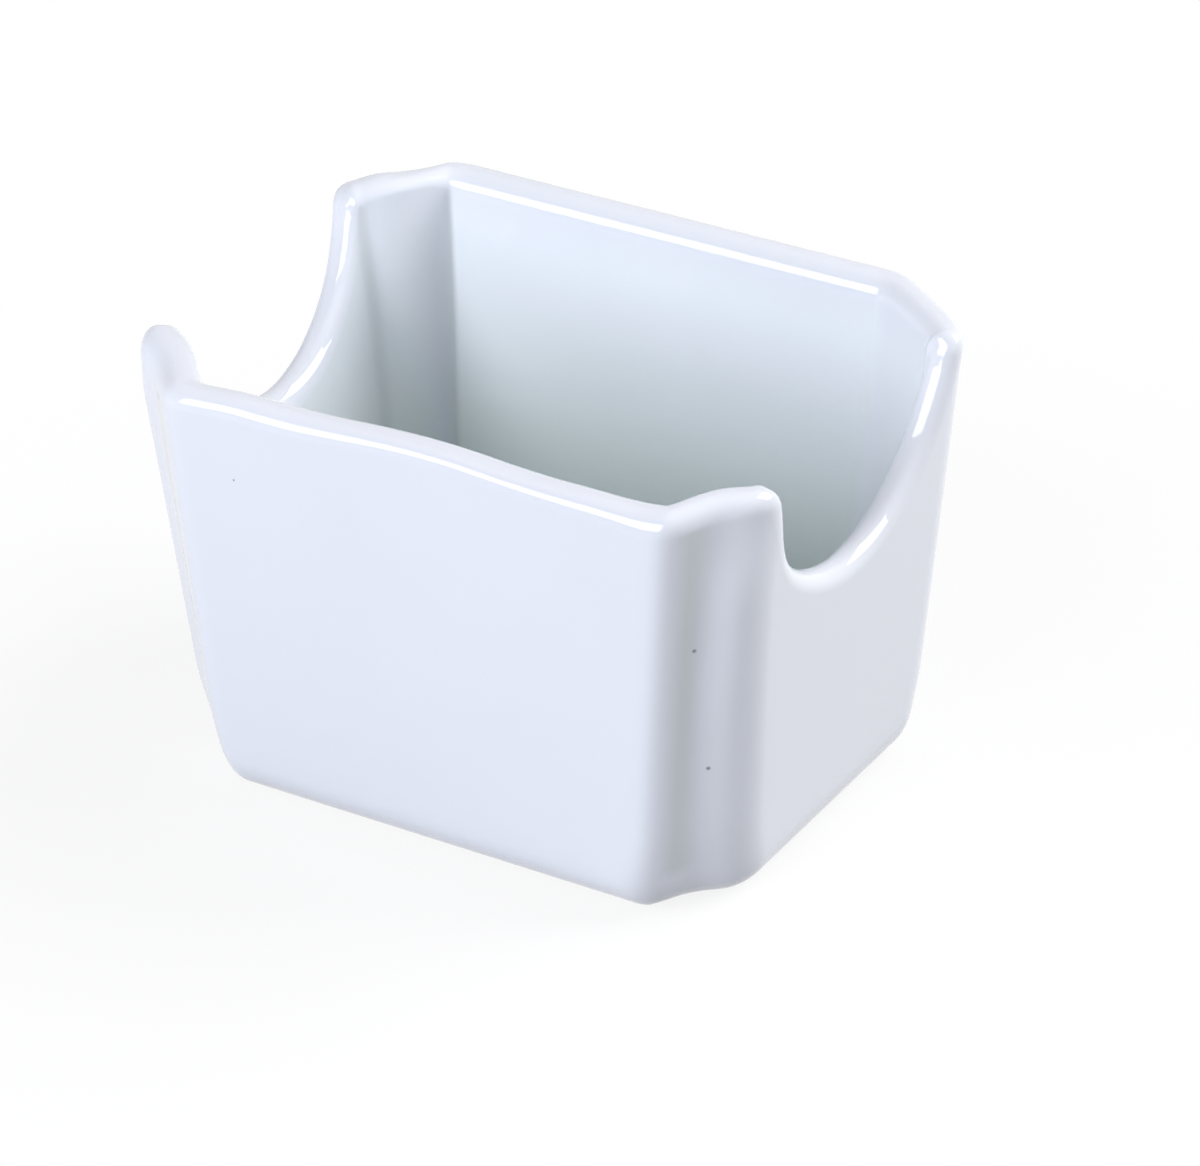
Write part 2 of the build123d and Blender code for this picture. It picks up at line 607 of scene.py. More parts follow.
@dataclass
class Skin:
    """Rows of points that go from the foot ring up the outside, over the lip and down to the floor."""

    form: HolderForm
    inset: float = 0.0
    base_rows: int = 10
    wall_rows: int = 26
    lip_rows: int = 9
    crown_rows: int = 2
    floor_rows: int = 9
    flat_rows: int = 4
    lead: float = 0.002
    rows: list[np.ndarray] = field(default_factory=list)
    lip: list[np.ndarray] = field(default_factory=list)
    # Painted shade in creases and flutes, for each row
    pool: list[np.ndarray] = field(default_factory=list)
    # Painted shade low down inside, for each row
    depth_shade: list[np.ndarray] = field(default_factory=list)

    @classmethod
    def hidden(cls, form: HolderForm) -> "Skin":
        """The coarser skin where the glaze lies on the clay."""
        return cls(form, inset=form.glaze, base_rows=8, wall_rows=16, lip_rows=6, floor_rows=4, flat_rows=2)

    def __post_init__(self) -> None:
        """Lays the rows in order."""
        form = self.form
        # Painted shade in creases, flutes and low down inside
        self.painted_shade = CreaseAndDepthShade(form)
        self.base_run, self.top_run, self.top_level = form.columns
        self.off_run, self.off_level = self.edge_normal()
        self.lip_outer, self.lip_inner = form.lip_radii(self.top_run)
        self.base_slope = form.slope(self.base_run, form.foot_height, self.inset, False)
        self.underside()
        self.base()
        self.outer_wall()
        self.over_the_lip()
        self.inner_wall()
        self.floor()

    def edge_normal(self) -> tuple[np.ndarray, np.ndarray]:
        """Finds the direction square to the top edge, away from the wall.

        Returns:
            Its part along the run and its part upward, for each column.
        """
        loop = self.form.whole_run
        run = np.concatenate((self.top_run[-2:] - loop, self.top_run, self.top_run[:2] + loop))
        level = np.concatenate((self.top_level[-2:], self.top_level, self.top_level[:2]))
        along = np.concatenate(([0.0], np.cumsum(np.hypot(np.diff(run), np.diff(level)))))
        across, rise = np.gradient(run, along)[2:-2], np.gradient(level, along)[2:-2]
        size = np.hypot(across, rise)
        return -rise / size, across / size

    def add(self, points: np.ndarray, lip: float = 0.0, pool: np.ndarray | float = 0.0,
            depth_shade: np.ndarray | float = 0.0) -> None:
        """Adds one row.

        Args:
            points: the points of the row.
            lip: how much the glaze thinned on the lip.
            pool: painted shade in a crease or flute.
            depth_shade: painted shade low down inside.
        """
        self.rows.append(points)
        for kept, value in ((self.lip, lip), (self.pool, pool), (self.depth_shade, depth_shade)):
            kept.append(np.broadcast_to(value, self.base_run.shape))

    def rounding(self, level: float, offset: float, radius: float, turn: np.ndarray,
                 slope: np.ndarray, inside: bool) -> np.ndarray:
        """One row of the rounding between a level bottom and a leaning wall.

        Args:
            level: level of the bottom.
            offset: depth of the wall's face.
            radius: radius of the rounding.
            turn: angle up the rounding from the bottom.
            slope: how far the wall moves outward for each metre up.
            inside: whether it is the inner face.

        Returns:
            The points of the row.
        """
        lean = np.arctan(slope)
        at = level + radius * (1 - np.cos(turn))
        depth = slope * (at - level) + radius * (1 - np.sin(lean)) / np.cos(lean) - radius * np.sin(turn)
        return self.form.point(self.base_run, at, offset + depth, self.form.growth(at, inside))

    def base_rounding(self, turn: np.ndarray) -> np.ndarray:
        """One row of the rounding from the underside into the outer wall."""
        return self.rounding(self.form.foot_height + self.inset, self.inset,
                             self.form.base_round - self.inset, turn, self.base_slope, False)

    def underside(self) -> None:
        """Level glaze between the foot ring and the rounding of the base."""
        form = self.form
        ring = form.foot_loop(form.foot_height + self.inset, form.foot_outer)
        edge = self.base_rounding(np.zeros_like(self.base_run))
        for part in np.linspace(0.0, 1.0, self.flat_rows, endpoint=False):
            self.add(ring + (edge - ring) * part)

    def base(self) -> None:
        """Rounding from the underside into the outer wall."""
        whole_turn = math.pi / 2 - np.arctan(self.base_slope)
        for part in np.linspace(0.0, 1.0, self.base_rows):
            self.add(self.base_rounding(part * whole_turn))
        self.base_top = self.rows[-1][:, 2]

    def sweep(self, start: np.ndarray, depth: np.ndarray, offset: float, inside: bool,
              parts: np.ndarray) -> None:
        """Rows of a wall, from a rounding to the lip, meeting the lip square to its edge.

        Args:
            start: level of the top of the rounding.
            depth: how far below the top edge the lip starts.
            offset: depth of the wall's face.
            inside: whether it is the inner face.
            parts: for each row, 0 at the rounding to 1 at the lip.
        """
        form = self.form
        end_run = self.top_run - depth * self.off_run
        end_level = self.top_level - depth * self.off_level
        loop = form.whole_run
        shift = (end_run - self.base_run + loop / 2) % loop - loop / 2
        reach = np.hypot(shift, end_level - start)
        for part in parts:
            square, cube = part ** 2, part ** 3
            leave, arrive = cube - 2 * square + part, cube - square
            blend = 3 * square - 2 * cube
            run = (self.base_run + blend * shift + arrive * self.lead * self.off_run) % loop
            level = start + blend * (end_level - start) + leave * reach + arrive * self.lead * self.off_level
            # Painted shade in creases and flutes, and low down inside
            pool, depth_shade = self.painted_shade.on_wall(run, level, inside)
            self.add(form.point(run, level, offset, form.growth(level, inside)), pool=pool, depth_shade=depth_shade)

    def outer_wall(self) -> None:
        """Leaning outer face, up to the start of the lip."""
        parts = np.linspace(0.0, 1.0, self.wall_rows)[1:]
        self.sweep(self.base_top, self.lip_outer, self.inset, False, parts)

    def over_the_lip(self) -> None:
        """Round lip, square to the top edge all the way along the rim and round the scoops."""
        form = self.form
        outer, inner = self.lip_outer, self.lip_inner
        section = []
        for turn in np.linspace(0.0, math.pi / 2, self.lip_rows)[1:]:
            section.append((outer - (outer - self.inset) * math.sin(turn),
                            outer - (outer - self.inset) * math.cos(turn), math.sin(turn)))
        for part in np.linspace(0.0, 1.0, self.crown_rows + 1, endpoint=False)[1:]:
            depth = outer + part * (form.wall - inner - outer)
            section.append((np.full_like(outer, self.inset), depth, 1.0))
        for turn in np.linspace(0.0, math.pi / 2, self.lip_rows):
            section.append((inner - (inner - self.inset) * math.cos(turn),
                            form.wall - inner + (inner - self.inset) * math.sin(turn), math.cos(turn)))
        for down, depth, thin in section:
            run = (self.top_run - down * self.off_run) % form.whole_run
            level = self.top_level - down * self.off_level
            growth = form.growth(level) * (depth / form.wall) ** 2
            self.add(form.point(run, level, depth, growth), lip=thin)

    @property
    def floor_edge(self) -> tuple[float, float, float]:
        """Level of the floor, depth of the inner face, and radius of the rounding between them."""
        form = self.form
        return form.cavity_floor - self.inset, form.wall - self.inset, form.floor_round + self.inset

    def inner_wall(self) -> None:
        """Leaning inner face, from the lip down to the rounding of the floor."""
        level, offset, radius = self.floor_edge
        self.floor_slope = self.form.slope(self.base_run, level + self.form.floor_round, offset, True)
        self.floor_turn = math.pi / 2 - np.arctan(self.floor_slope)
        start = level + radius * (1 - np.cos(self.floor_turn))
        parts = np.linspace(1.0, 0.0, self.wall_rows)[1:]
        self.sweep(start, self.lip_inner, offset, True, parts)

    def floor(self) -> None:
        """Rounding at the foot of the inner wall, and the level floor in to a small ring."""
        level, offset, radius = self.floor_edge
        for part in np.linspace(1.0, 0.0, self.base_rows)[1:]:
            row = self.rounding(level, offset, radius, part * self.floor_turn, self.floor_slope, True)
            # Painted shade round the rounding of the floor, and low down inside
            pool, depth_shade = self.painted_shade.on_rounding(self.base_run, part)
            self.add(row, pool=pool, depth_shade=depth_shade)
        edge = self.rows[-1]
        for part in np.linspace(1.0, SMALL_RING, self.floor_rows)[1:]:
            # Painted shade on the floor
            pool, depth_shade = self.painted_shade.on_floor(part)
            self.add(drawn_in(edge, part), pool=pool, depth_shade=depth_shade)


@dataclass(frozen=True)
class Zone:
    """Stretch along one axis over which a movement of the clay comes in."""

    axis: Axis
    start: float
    full: float

    def share(self, points: np.ndarray) -> np.ndarray:
        """Eases from 0 where the zone starts to 1 where the movement is full."""
        return smooth((points[..., self.axis.value] - self.start) / (self.full - self.start))


@dataclass(frozen=True)
class Movement:
    """One way in which the clay moved: how far, and in which zones."""

    amount: float
    zones: tuple[Zone, ...]

    def at(self, points: np.ndarray) -> np.ndarray:
        """How far points moved."""
        return self.amount * math.prod(zone.share(points) for zone in self.zones)


@dataclass(frozen=True)
class Firing:
    """How the soft clay moved while it dried and was fired, in metres."""

    still_share: float = 0.25
    front: Zone = Zone(Axis.Y, -0.018, -0.030)
    front_rise: float = 0.0007
    front_draw: float = 0.0005
    front_middle: float = 0.0028
    front_reach: float = 0.0210
    left_swing: Movement = Movement(0.0014, (Zone(Axis.X, 0.0, -0.030), Zone(Axis.Y, -0.015, 0.020)))
    flute_slide: Movement = Movement(0.0018, (
        Zone(Axis.X, 0.030, 0.040), Zone(Axis.Y, -0.0335, -0.0250), Zone(Axis.Y, -0.002, -0.020),
        Zone(Axis.Z, 0.060, 0.048),
    ))
    slide_at_base: float = 0.2
    slide_rise: float = 0.046
    back_tilt: Movement = Movement(0.0100, (Zone(Axis.Y, 0.005, 0.030),))
    lifts: tuple[Movement, ...] = (
        # Right part of the front rim, and the near right tip
        Movement(0.0004, (front, Zone(Axis.X, 0.012, 0.026))),
        Movement(0.0010, (Zone(Axis.X, 0.033, 0.043), Zone(Axis.Y, -0.016, -0.024))),
        # Back left tip, and the front left corner, which both sank
        Movement(-0.0011, (
            Zone(Axis.X, -0.041, -0.046), Zone(Axis.Y, 0.031, 0.025), Zone(Axis.Y, 0.010, 0.020),
        )),
        Movement(-0.0006, (Zone(Axis.X, -0.024, -0.034), Zone(Axis.Y, -0.025, -0.032))),
    )
    ripple: float = 0.00002
    long_wave: tuple[float, float] = (190.0, 40.0)
    cross_wave: tuple[float, float] = (160.0, -90.0)
    short_wave: tuple[float, float] = (310.0, 150.0)
    short_share: float = 0.7
    short_phase: float = 1.0

    def waves(self, x: np.ndarray, y: np.ndarray, z: np.ndarray) -> np.ndarray:
        """Finds the slight waves of a hand-wiped face.

        Args:
            x: place along the long walls.
            y: place along the ends.
            z: height above the table.

        Returns:
            The waves, before they are scaled to the height of the ripple.
        """
        (along, along_up), (across, across_up) = self.long_wave, self.cross_wave
        slow = np.sin(along * x + along_up * z) * np.cos(across * y + across_up * z)
        short, short_up = self.short_wave
        return slow + self.short_share * np.sin(short * y + short_up * z + self.short_phase)

    def settle(self, points: np.ndarray, height: float) -> np.ndarray:
        """Moves points as the clay moved.

        Args:
            points: points of the true form, in metres.
            height: height of the tub.

        Returns:
            The points of the fired ware.
        """
        x, y, z = points[..., 0], points[..., 1], points[..., 2]
        up = np.clip((z / height - self.still_share) / (1 - self.still_share), 0.0, 1.0) ** 2
        bow = up * self.front.share(points) * hump((x - self.front_middle) / self.front_reach)
        swing = up * self.left_swing.at(points)
        slide = self.flute_slide.at(points) * np.clip(self.slide_at_base + z / self.slide_rise, 0.0, 1.0)
        lift = self.back_tilt.at(points) * x + sum(movement.at(points) for movement in self.lifts)
        away = up * self.ripple * self.waves(x, y, z)
        moved_x = x + away * np.sign(x) - swing
        moved_y = y + self.front_draw * bow - slide + away * np.sign(y)
        moved_z = z + self.front_rise * bow + up * lift
        return np.stack((moved_x, moved_y, moved_z), axis=-1)


# Meshes


def closed_mesh(name: str, rows: list[np.ndarray]) -> bpy.types.Mesh:
    """Closes rows of points into one smooth mesh.

    Args:
        name: name of the mesh.
        rows: rows of points, each a loop with as many points as the others.

    Returns:
        The mesh, with its rows as quads and a fan of triangles to the middle of each end row.
    """
    count, width = len(rows), len(rows[0])
    points = np.concatenate([*rows, rows[0].mean(axis=0)[None], rows[-1].mean(axis=0)[None]])
    here = np.arange(width)
    after = (here + 1) % width
    faces: list[list[int]] = []
    for index in range(count - 1):
        low, high = index * width, (index + 1) * width
        faces.extend(np.stack((low + here, low + after, high + after, high + here), axis=1).tolist())
    start, end = count * width, count * width + 1
    top = (count - 1) * width
    faces.extend([start, int(b), int(a)] for a, b in zip(here, after))
    faces.extend([top + int(a), top + int(b), end] for a, b in zip(here, after))
    mesh = bpy.data.meshes.new(name)
    mesh.from_pydata(points.tolist(), [], faces)
    mesh.shade_smooth()
    mesh.update()
    return mesh


def add_values(mesh: bpy.types.Mesh, name: str, values: np.ndarray) -> None:
    """Stores one number for each point of a mesh."""
    attribute = mesh.attributes.new(name, "FLOAT", "POINT")
    attribute.data.foreach_set("value", values.astype(np.float32))


def add_piece(name: str, mesh: bpy.types.Mesh, node: Node) -> bpy.types.Object:
    """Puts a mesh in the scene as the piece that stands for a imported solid.

    Args:
        name: name of the piece.
        mesh: its mesh.
        node: the solid that it stands for.

    Returns:
        The piece.
    """
    piece = bpy.data.objects.new(name, mesh)
    bpy.context.scene.collection.objects.link(piece)
    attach(piece, BODY)
    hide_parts(node.value)
    return piece


# Shader node groups


def new_group(name: str, inputs: dict[str, float], outputs: tuple[str, ...]) -> bpy.types.NodeTree:
    """Starts a shader group.

    Args:
        name: name of the group.
        inputs: each number input with its usual value.
        outputs: the number outputs.

    Returns:
        The group with its sockets and its two end nodes.
    """
    group = bpy.data.node_groups.new(name, "ShaderNodeTree")
    for label, value in inputs.items():
        socket = group.interface.new_socket(name=label, in_out="INPUT", socket_type="NodeSocketFloat")
        socket.default_value = value
    for label in outputs:
        group.interface.new_socket(name=label, in_out="OUTPUT", socket_type="NodeSocketFloat")
    group.nodes.new("NodeGroupInput").name = "in"
    group.nodes.new("NodeGroupOutput").name = "out"
    return group


def feed(tree: bpy.types.NodeTree, socket: bpy.types.NodeSocket, value: object) -> None:
    """Links an input to a socket, or gives it a number or a colour."""
    if isinstance(value, bpy.types.NodeSocket):
        tree.links.new(value, socket)
    else:
        socket.default_value = (*value, 1.0) if isinstance(value, tuple) else value


def math_node(tree: bpy.types.NodeTree, operation: str, *values: object) -> bpy.types.NodeSocket:
    """Adds a Math node.

    Args:
        tree: the tree that it goes in.
        operation: what it works out.
        values: its inputs, as sockets or numbers.

    Returns:
        Its result.
    """
    node = tree.nodes.new("ShaderNodeMath")
    node.operation = operation
    for socket, value in zip(node.inputs, values):
        feed(tree, socket, value)
    return node.outputs[0]


def mix_colours(tree: bpy.types.NodeTree, factor: bpy.types.NodeSocket, first: object,
                second: object) -> bpy.types.NodeSocket:
    """Adds a colour Mix node.

    Args:
        tree: the tree that it goes in.
        factor: share of the second colour.
        first: the first colour, or a socket.
        second: the second colour, or a socket.

    Returns:
        The mixed colour.
    """
    node = tree.nodes.new("ShaderNodeMix")
    node.data_type = "RGBA"
    feed(tree, node.inputs[0], factor)
    feed(tree, node.inputs[FIRST_COLOUR], first)
    feed(tree, node.inputs[SECOND_COLOUR], second)
    return node.outputs[MIXED_COLOUR]


def mix_shaders(tree: bpy.types.NodeTree, *sockets: bpy.types.NodeSocket) -> bpy.types.NodeSocket:
    """Adds a Mix Shader node.

    Args:
        tree: the tree that it goes in.
        sockets: the share of the second shader, the first shader and the second one.

    Returns:
        The mixed shader.
    """
    node = tree.nodes.new("ShaderNodeMixShader")
    for socket, value in zip(node.inputs, sockets):
        feed(tree, socket, value)
    return node.outputs[0]


def seen_directly(tree: bpy.types.NodeTree) -> bpy.types.NodeSocket:
    """Tells what is looked at from light that only bounces.

    Args:
        tree: the tree that the nodes go in.

    Returns:
        1 for rays from the camera or from a gloss or glass, and 0 for the others.
    """
    path = tree.nodes.new("ShaderNodeLightPath")
    mirrored = math_node(tree, "MAXIMUM", path.outputs["Is Glossy Ray"], path.outputs["Is Transmission Ray"])
    return math_node(tree, "MAXIMUM", path.outputs["Is Camera Ray"], mirrored)


def surface_place(tree: bpy.types.NodeTree) -> bpy.types.NodeSocket:
    """Object coordinates, which stay with the piece."""
    return tree.nodes.new("ShaderNodeTexCoord").outputs["Object"]


def noise(tree: bpy.types.NodeTree, scale: object, detail: float) -> bpy.types.NodeSocket:
    """Adds a Noise texture on the object's coordinates.

    Args:
        tree: the tree that it goes in.
        scale: its scale, as a socket or a number.
        detail: how many finer layers it has.

    Returns:
        Its value.
    """
    node = tree.nodes.new("ShaderNodeTexNoise")
    for label, value in (("Vector", surface_place(tree)), ("Scale", scale), ("Detail", detail)):
        feed(tree, node.inputs[label], value)
    return node.outputs["Fac"]


def kiln_specks() -> bpy.types.NodeTree:
    """Group for the few dark specks that a kiln leaves.

    Returns:
        The group, whose mask is 1 in a speck.
    """
    least_size, contrast = 0.4, 2.5
    group = new_group("kiln_specks", {"Scale": 90.0, "Share": 0.03, "Size": 0.05}, ("Mask",))
    given = group.nodes["in"].outputs
    cells = group.nodes.new("ShaderNodeTexVoronoi")
    feed(group, cells.inputs["Vector"], surface_place(group))
    feed(group, cells.inputs["Scale"], given["Scale"])
    split = group.nodes.new("ShaderNodeSeparateColor")
    feed(group, split.inputs[0], cells.outputs["Color"])
    chosen = math_node(group, "LESS_THAN", split.outputs[0], given["Share"])
    size = math_node(group, "MULTIPLY", given["Size"], math_node(group, "ADD", split.outputs[1], least_size))
    near = math_node(group, "SUBTRACT", 1.0, math_node(group, "DIVIDE", cells.outputs["Distance"], size))
    mask = math_node(group, "MULTIPLY", chosen, math_node(group, "MAXIMUM", near, 0.0))
    strong = math_node(group, "MINIMUM", math_node(group, "MULTIPLY", mask, contrast), 1.0)
    feed(group, group.nodes["out"].inputs["Mask"], strong)
    return group


def fired_skin() -> bpy.types.NodeTree:
    """Group for the unevenness of a fired surface.

    Returns:
        The group, with a fine height and a slow drift of tone about the middle.
    """
    fine_detail, slow_detail, fine_share, middle = 2.0, 3.0, 0.4, 0.5
    group = new_group("fired_skin", {"Fine Scale": 500.0, "Slow Scale": 60.0, "Drift": 1.0},
                      ("Height", "Tone"))
    given, result = group.nodes["in"].outputs, group.nodes["out"].inputs
    fine = noise(group, given["Fine Scale"], fine_detail)
    slow = noise(group, given["Slow Scale"], slow_detail)
    height = math_node(group, "ADD", math_node(group, "MULTIPLY", fine, fine_share), slow)
    feed(group, result["Height"], height)
    tone = math_node(group, "MULTIPLY", math_node(group, "SUBTRACT", slow, middle), given["Drift"])
    feed(group, result["Tone"], math_node(group, "ADD", tone, middle))
    return group


def place_group(tree: bpy.types.NodeTree, group: bpy.types.NodeTree, **values: float) -> bpy.types.Node:
    """Places a shader group in a material.

    Args:
        tree: the tree that it goes in.
        group: the group.
        values: the material's own values for the named inputs.

    Returns:
        The node of the group.
    """
    node = tree.nodes.new("ShaderNodeGroup")
    node.node_tree = group
    for label, value in values.items():
        node.inputs[label.replace("_", " ")].default_value = value
    return node


# Finishes


def new_material(name: str) -> tuple[bpy.types.NodeTree, bpy.types.Node, bpy.types.Material]:
    """Starts a node material.

    Args:
        name: name of the material.

    Returns:
        Its tree, its Principled node and itself.
    """
    material = bpy.data.materials.new(name)
    material.use_nodes = True
    tree = material.node_tree
    return tree, tree.nodes["Principled BSDF"], material


@dataclass(frozen=True)
class Pinhole:
    """A dark pinprick in the glaze: where it lies, and its radius."""

    place: tuple[float, float, float]
    radius: float


@dataclass(frozen=True)
class FiredFinish:
    """What glaze and bare clay have in common: a drifting tone, kiln specks, dullness and a fine bump."""

    name: str
    body: Colour
    drift: Colour
    speck: Colour
    fine_scale: float
    slow_scale: float
    tone_drift: float
    speck_scale: float
    speck_share: float
    speck_size: float
    smoothest: float
    dullest: float
    bump: float
    bump_depth: float

    def shaded_and_tinted(self, tree: bpy.types.NodeTree, colour: bpy.types.NodeSocket) -> bpy.types.NodeSocket:
        """The colour with any painted shade and other colours of the finish laid over it."""
        return colour

    def marked(self, tree: bpy.types.NodeTree, marks: bpy.types.NodeSocket) -> bpy.types.NodeSocket:
        """The mask of the specks with the finish's own marks added."""
        return marks

    def material(self, skin: bpy.types.NodeTree, specks: bpy.types.NodeTree) -> bpy.types.Material:
        """Builds the material.

        Args:
            skin: the group for the unevenness of a fired surface.
            specks: the group for kiln specks.

        Returns:
            The material of the finish.
        """
        tree, shader, material = new_material(self.name)
        surface = place_group(tree, skin, Fine_Scale=self.fine_scale, Slow_Scale=self.slow_scale,
                              Drift=self.tone_drift)
        colour = self.shaded_and_tinted(tree, mix_colours(tree, surface.outputs["Tone"], self.body, self.drift))
        kiln = place_group(tree, specks, Scale=self.speck_scale, Share=self.speck_share,
                           Size=self.speck_size)
        marks = self.marked(tree, kiln.outputs["Mask"])
        feed(tree, shader.inputs["Base Color"], mix_colours(tree, marks, colour, self.speck))
        rough = tree.nodes.new("ShaderNodeMapRange")
        for label, value in (("To Min", self.smoothest), ("To Max", self.dullest),
                             ("Value", surface.outputs["Tone"])):
            feed(tree, rough.inputs[label], value)
        feed(tree, shader.inputs["Roughness"], rough.outputs["Result"])
        bump = tree.nodes.new("ShaderNodeBump")
        for label, value in (("Strength", self.bump), ("Distance", self.bump_depth),
                             ("Height", surface.outputs["Height"])):
            feed(tree, bump.inputs[label], value)
        feed(tree, shader.inputs["Normal"], bump.outputs["Normal"])
        return material


@dataclass(frozen=True)
class GlazeFinish(FiredFinish):
    """Clear white gloss glaze: thinner and warmer on the lip, with painted shade that is darker and greyer
    in creases and flutes and darker and greener low down inside.
    """

    name: str = "white_gloss_glaze"
    body: Colour = (0.764, 0.798, 0.858)
    drift: Colour = (0.778, 0.810, 0.868)
    speck: Colour = (0.100, 0.095, 0.090)
    fine_scale: float = 420.0
    slow_scale: float = 55.0
    tone_drift: float = 1.6
    speck_scale: float = 70.0
    speck_share: float = 0.012
    speck_size: float = 0.035
    smoothest: float = 0.020
    dullest: float = 0.045
    bump: float = 0.03
    bump_depth: float = 0.0004
    index: float = 1.52
    # Painted shade low down inside: a darker, greener colour, and its share
    depth_shade: Colour = (0.702, 0.776, 0.712)
    depth_shade_share: float = 0.85
    # Painted shade in creases and flutes: a darker, greyer colour, and its share
    crease_shade_colour: Colour = (0.628, 0.674, 0.690)
    crease_shade_share: float = 0.80
    thin: Colour = (0.795, 0.806, 0.862)
    thin_share: float = 0.40
    pinholes: tuple[Pinhole, ...] = (
        Pinhole((0.03941, -0.03128, 0.04242), 0.00040),
        Pinhole((0.03950, -0.02840, 0.02369), 0.00040),
        Pinhole((-0.02561, -0.03601, 0.05103), 0.00022),
    )

    def shaded_and_tinted(self, tree: bpy.types.NodeTree, colour: bpy.types.NodeSocket) -> bpy.types.NodeSocket:
        """Lays painted shade low down inside and in creases and flutes, and the warmer colour of thin glaze
        on the lip, over a colour.

        Args:
            tree: the tree of the material.
            colour: the colour of even glaze.

        Returns:
            The colour with painted shade and the colour of thin glaze laid over it.
        """
        # Painted shade low down inside and in creases and flutes, then the warmer colour of thin glaze on
        # the lip
        shade_and_tint = (("depth_shade", self.depth_shade, self.depth_shade_share), ("pool", self.crease_shade_colour, self.crease_shade_share),
                 ("lip", self.thin, self.thin_share))
        for label, laid_colour, share in shade_and_tint:
            reading = tree.nodes.new("ShaderNodeAttribute")
            reading.attribute_name = label
            factor = math_node(tree, "MULTIPLY", reading.outputs["Fac"], share)
            colour = mix_colours(tree, factor, colour, laid_colour)
        return colour

    def marked(self, tree: bpy.types.NodeTree, marks: bpy.types.NodeSocket) -> bpy.types.NodeSocket:
        """Adds the pinholes to the specks.

        Args:
            tree: the tree of the material.
            marks: the mask of the specks.

        Returns:
            The mask of specks and pinholes.
        """
        for hole in self.pinholes:
            apart = tree.nodes.new("ShaderNodeVectorMath")
            apart.operation = "DISTANCE"
            feed(tree, apart.inputs[0], surface_place(tree))
            apart.inputs[1].default_value = hole.place
            away = math_node(tree, "DIVIDE", apart.outputs["Value"], hole.radius)
            near = math_node(tree, "MAXIMUM", math_node(tree, "SUBTRACT", 1.0, away), 0.0)
            marks = math_node(tree, "MAXIMUM", marks, near)
        return marks

    def material(self, skin: bpy.types.NodeTree, specks: bpy.types.NodeTree) -> bpy.types.Material:
        """Builds the material, with the gloss of glaze.

        Args:
            skin: the group for the unevenness of a fired surface.
            specks: the group for kiln specks.

        Returns:
            The glaze material.
        """
        material = super().material(skin, specks)
        material.node_tree.nodes["Principled BSDF"].inputs["IOR"].default_value = self.index
        return material


@dataclass(frozen=True)
class BareClayFinish(FiredFinish):
    """Fired clay without glaze, wiped clean and rubbed on a stone."""

    name: str = "bare_porcelain"
    body: Colour = (0.700, 0.670, 0.610)
    drift: Colour = (0.600, 0.575, 0.530)
    speck: Colour = (0.180, 0.150, 0.120)
    fine_scale: float = 2600.0
    slow_scale: float = 320.0
    tone_drift: float = 2.4
    speck_scale: float = 420.0
    speck_share: float = 0.08
    speck_size: float = 0.12
    smoothest: float = 0.62
    dullest: float = 0.82
    bump: float = 0.35
    bump_depth: float = 0.00015


# Pieces


@dataclass
class FiredPiece:
    """A piece of the fired ware, closed from rows of points."""

    form: HolderForm
    firing: Firing
    piece: bpy.types.Object = field(init=False, default=None)

    def fire(self, name: str, rows: list[np.ndarray], node: Node, slot: Slot) -> bpy.types.Object:
        """Moves rows as the clay moved, and closes them into a piece.

        Args:
            name: name of the piece and of its mesh.
            rows: rows of points of the true form.
            node: the solid that it stands for.
            slot: its material slot, which is not used.

        Returns:
            The piece.
        """
        settled = [self.firing.settle(row, self.form.height) for row in rows]
        self.piece = add_piece(name, closed_mesh(name, settled), node)
        return self.piece

    def dress(self, finish: bpy.types.Material) -> None:
        """Gives the piece its finish."""
        self.piece.data.materials.append(finish)


@dataclass
class GlazeCoat(FiredPiece):
    """Glaze over the walls, lip, inside and outer underside, closed where it meets the foot ring."""

    def build(self) -> bpy.types.Object:
        """Builds the coat as a closed skin: its glossy face and the face that lies on the clay.

        Returns:
            The piece, with how its glaze thinned on the lip and its painted shade stored at its points.
        """
        face, back = Skin(self.form), Skin.hidden(self.form)
        self.fire("glaze_coat_skin", [*back.rows[::-1], *face.rows], Node.COAT, Slot.GLAZE)
        hidden = np.zeros(len(back.rows) * len(back.base_run))
        # Stores the thinning on the lip and the painted shade at each point
        for name, values in (("lip", face.lip), ("pool", face.pool), ("depth_shade", face.depth_shade)):
            add_values(self.piece.data, name, np.concatenate([hidden, *values, (0.0, values[-1][0])]))
        return self.piece


@dataclass
class PorcelainBody(FiredPiece):
    """Fired clay under the glaze, with the bare foot ring that it stands on."""

    edge: float = 0.00022
    edge_rows: int = 4
    under_shares: tuple[float, ...] = (SMALL_RING, 0.4, 0.8)

    def foot(self) -> list[np.ndarray]:
        """Lays out the underside and the foot ring.

        Returns:
            Their rows of points, from the middle outward.
        """
        form = self.form
        inner = form.foot_loop(form.foot_height + form.glaze, form.foot_inner)
        rows = [drawn_in(inner, share) for share in self.under_shares]
        rows.append(inner)
        turns = np.linspace(0.0, math.pi / 2, self.edge_rows)
        curve = [(self.edge * (1 - math.sin(turn)), self.edge * (1 - math.cos(turn))) for turn in turns]
        rows.extend(form.foot_loop(level, form.foot_inner - inward) for level, inward in curve)
        rows.append(form.foot_loop(0.0, (form.foot_inner + form.foot_outer) / 2))
        rows.extend(form.foot_loop(level, form.foot_outer + inward) for level, inward in curve[::-1])
        return rows

    def build(self) -> bpy.types.Object:
        """Builds the clay as one closed mesh."""
        rows = [*self.foot(), *Skin.hidden(self.form).rows]
        return self.fire("porcelain_body_clay", rows, Node.BODY, Slot.PORCELAIN)


